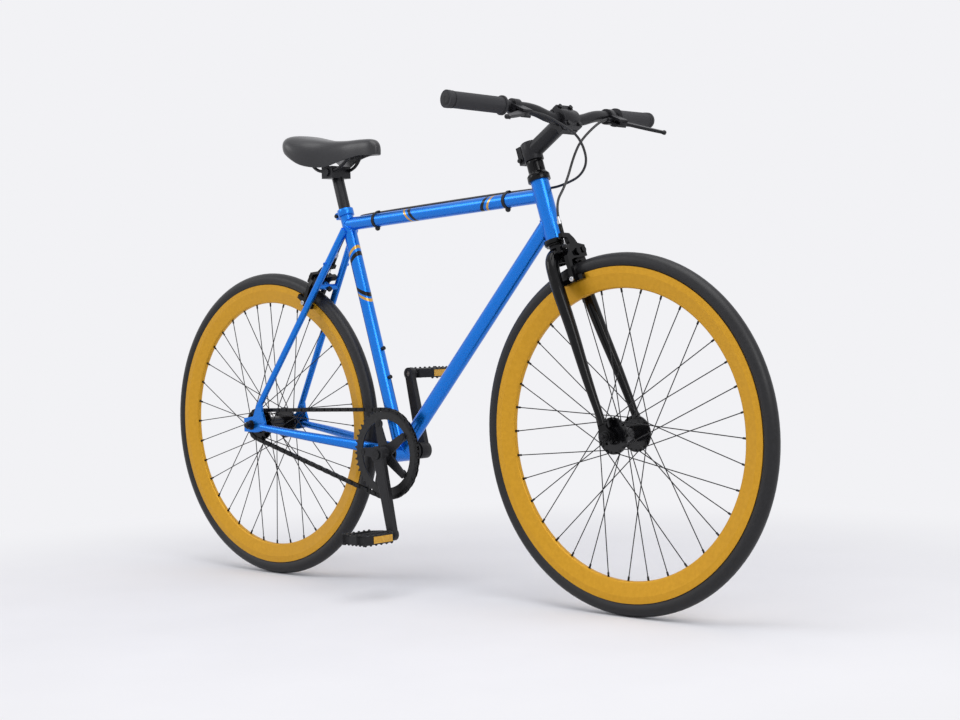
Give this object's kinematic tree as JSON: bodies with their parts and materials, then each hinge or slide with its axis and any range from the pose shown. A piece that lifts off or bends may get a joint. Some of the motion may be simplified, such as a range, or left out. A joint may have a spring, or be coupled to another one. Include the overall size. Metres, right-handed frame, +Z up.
{
  "type": "fixed gear bicycle",
  "caption": "Single-speed track-style bicycle with a chain drive, steerable fork, rim brakes worked by bar levers, and a height-adjustable saddle.",
  "frame": {"origin": "on the ground midway between the two tyres' contact points, on the bike's centre plane", "axes": "+X forward along the wheelbase, +Y to the rider's left, +Z up"},
  "size_m": [1.7068, 0.5978, 0.9841],
  "materials": {
    "blue_paint": "metallic gloss",
    "black_paint": "gloss and satin black",
    "gold_alloy": "satin gold anodised",
    "black_steel": "blackened",
    "bright_steel": "plain",
    "tyre_rubber": "slick",
    "tube_rubber": "matte",
    "black_plastic": "moulded",
    "amber_plastic": "prismatic",
    "black_vinyl": "stretched cover"
  },
  "bodies": {
    "frame": {"head_tube": "blue_paint", "seat_tube": "blue_paint", "top_tube": "blue_paint", "down_tube": "blue_paint", "bottom_bracket_shell": "blue_paint", "bottom_bracket_cups": "black_paint", "rear_dropouts": "blue_paint", "chainstays": "blue_paint", "seatstays": "blue_paint", "seat_clamp": "blue_paint", "frame_fasteners": "black_steel", "headset_cups": "black_paint", "rear_axle": "bright_steel", "chain": "black_steel", "cable_ties": "black_plastic", "rear_brake_housing": "black_plastic", "rear_brake_base": "black_paint"},
    "steering": {"steerer_tube": "bright_steel", "fork_blades": "black_paint", "headset_spacers": "black_paint", "stem": "black_paint", "stem_faceplate": "black_paint", "stem_fasteners": "black_steel", "handlebar": "black_paint", "handlebar_grips": "tube_rubber", "lever_brackets": "black_paint", "front_axle": "bright_steel", "front_brake_base": "black_paint", "front_brake_housing": "black_plastic"},
    "front_wheel": {"front_tyre": "tyre_rubber", "front_inner_tube": "tube_rubber", "front_rim": "gold_alloy", "front_spokes": "black_steel", "front_hub": "black_paint"},
    "rear_wheel": {"rear_tyre": "tyre_rubber", "rear_inner_tube": "tube_rubber", "rear_rim": "gold_alloy", "rear_spokes": "black_steel", "rear_hub": "black_paint", "rear_cog": "bright_steel"},
    "crank": {"crank_spindles": "bright_steel", "right_crank": "black_paint", "left_crank": "black_paint", "chainring": "black_paint", "crank_fasteners": "black_steel"},
    "right_pedal_body": {"right_pedal": "black_plastic", "right_pedal_reflectors": "amber_plastic"},
    "left_pedal_body": {"left_pedal": "black_plastic", "left_pedal_reflectors": "amber_plastic"},
    "right_lever": {"right_brake_lever": "black_paint"},
    "left_lever": {"left_brake_lever": "black_paint"},
    "front_right_arm": {"front_brake_right_arm": "black_paint"},
    "front_left_arm": {"front_brake_left_arm": "black_paint", "front_brake_wire": "bright_steel"},
    "rear_left_arm": {"rear_brake_left_arm": "black_paint"},
    "rear_right_arm": {"rear_brake_right_arm": "black_paint", "rear_brake_wire": "bright_steel"},
    "seat": {"seatpost": "black_paint", "saddle_rails": "black_steel", "saddle": "black_vinyl"}
  },
  "joints": [
    {"name": "steering_turn", "type": "hinge", "parent": "frame", "child": "steering", "pos_m": [0.46892, 0, 0.32954], "axis": [-0.2924, 0, 0.9563], "range_deg": [-60, 60], "deforming": ["rear_brake_housing"]},
    {"name": "front_wheel_spin", "type": "hinge", "parent": "steering", "child": "front_wheel", "pos_m": [0.511, 0, 0.3424], "axis": [0, 1, 0], "continuous": true},
    {"name": "rear_wheel_spin", "type": "hinge", "parent": "frame", "child": "rear_wheel", "pos_m": [-0.511, 0, 0.3424], "axis": [0, 1, 0], "continuous": true, "deforming": ["chain"]},
    {"name": "crank_spin", "type": "hinge", "parent": "frame", "child": "crank", "pos_m": [-0.09322, 0, 0.2899], "axis": [0, 1, 0], "continuous": true, "deforming": ["chain"]},
    {"name": "right_pedal_spin", "type": "hinge", "parent": "crank", "child": "right_pedal_body", "pos_m": [-0.04779, 0, 0.12608], "axis": [0, 1, 0], "continuous": true},
    {"name": "left_pedal_spin", "type": "hinge", "parent": "crank", "child": "left_pedal_body", "pos_m": [-0.13865, 0, 0.45372], "axis": [0, 1, 0], "continuous": true},
    {"name": "left_lever_pull", "type": "hinge", "parent": "steering", "child": "left_lever", "pos_m": [0.40451, 0.14169, 0.9476], "axis": [0.4226, 0, 0.9063], "range_deg": [0, 18], "stiffness_Nm_per_rad": 1.5, "deforming": ["front_brake_housing", "front_brake_wire"]},
    {"name": "right_lever_pull", "type": "hinge", "parent": "steering", "child": "right_lever", "pos_m": [0.40451, -0.14169, 0.9476], "axis": [-0.4226, 0, -0.9063], "range_deg": [0, 18], "stiffness_Nm_per_rad": 1.5, "deforming": ["rear_brake_housing", "rear_brake_wire"]},
    {"name": "front_right_arm_close", "type": "hinge", "parent": "steering", "child": "front_right_arm", "pos_m": [0.37825, 0.02, 0.68768], "axis": [0.9563, 0, 0.2924], "range_deg": [0, 1.7], "deforming": ["front_brake_housing", "front_brake_wire"]},
    {"name": "front_left_arm_close", "type": "hinge", "parent": "steering", "child": "front_left_arm", "pos_m": [0.37971, 0, 0.68289], "axis": [-0.9563, 0, -0.2924], "range_deg": [0, 1.7], "deforming": ["front_brake_housing", "front_brake_wire"]},
    {"name": "rear_left_arm_close", "type": "hinge", "parent": "frame", "child": "rear_left_arm", "pos_m": [-0.31951, -0.02, 0.65682], "axis": [-0.8392, 0, 0.5438], "range_deg": [0, 1.7], "deforming": ["rear_brake_housing", "rear_brake_wire"]},
    {"name": "rear_right_arm_close", "type": "hinge", "parent": "frame", "child": "rear_right_arm", "pos_m": [-0.32223, 0, 0.65263], "axis": [0.8392, 0, -0.5438], "range_deg": [0, 1.7], "deforming": ["rear_brake_housing", "rear_brake_wire"]},
    {"name": "seat_height", "type": "slide", "parent": "frame", "child": "seat", "axis": [-0.2857, 0, 0.9583], "range_m": [-0.05, 0.025]}
  ],
  "couplings": [
    {"joint": "crank_spin", "follows": "rear_wheel_spin", "ratio": 0.34783},
    {"joint": "front_right_arm_close", "follows": "left_lever_pull", "ratio": 0.094443},
    {"joint": "front_left_arm_close", "follows": "left_lever_pull", "ratio": 0.094443},
    {"joint": "rear_left_arm_close", "follows": "right_lever_pull", "ratio": 0.094443},
    {"joint": "rear_right_arm_close", "follows": "right_lever_pull", "ratio": 0.094443}
  ]
}
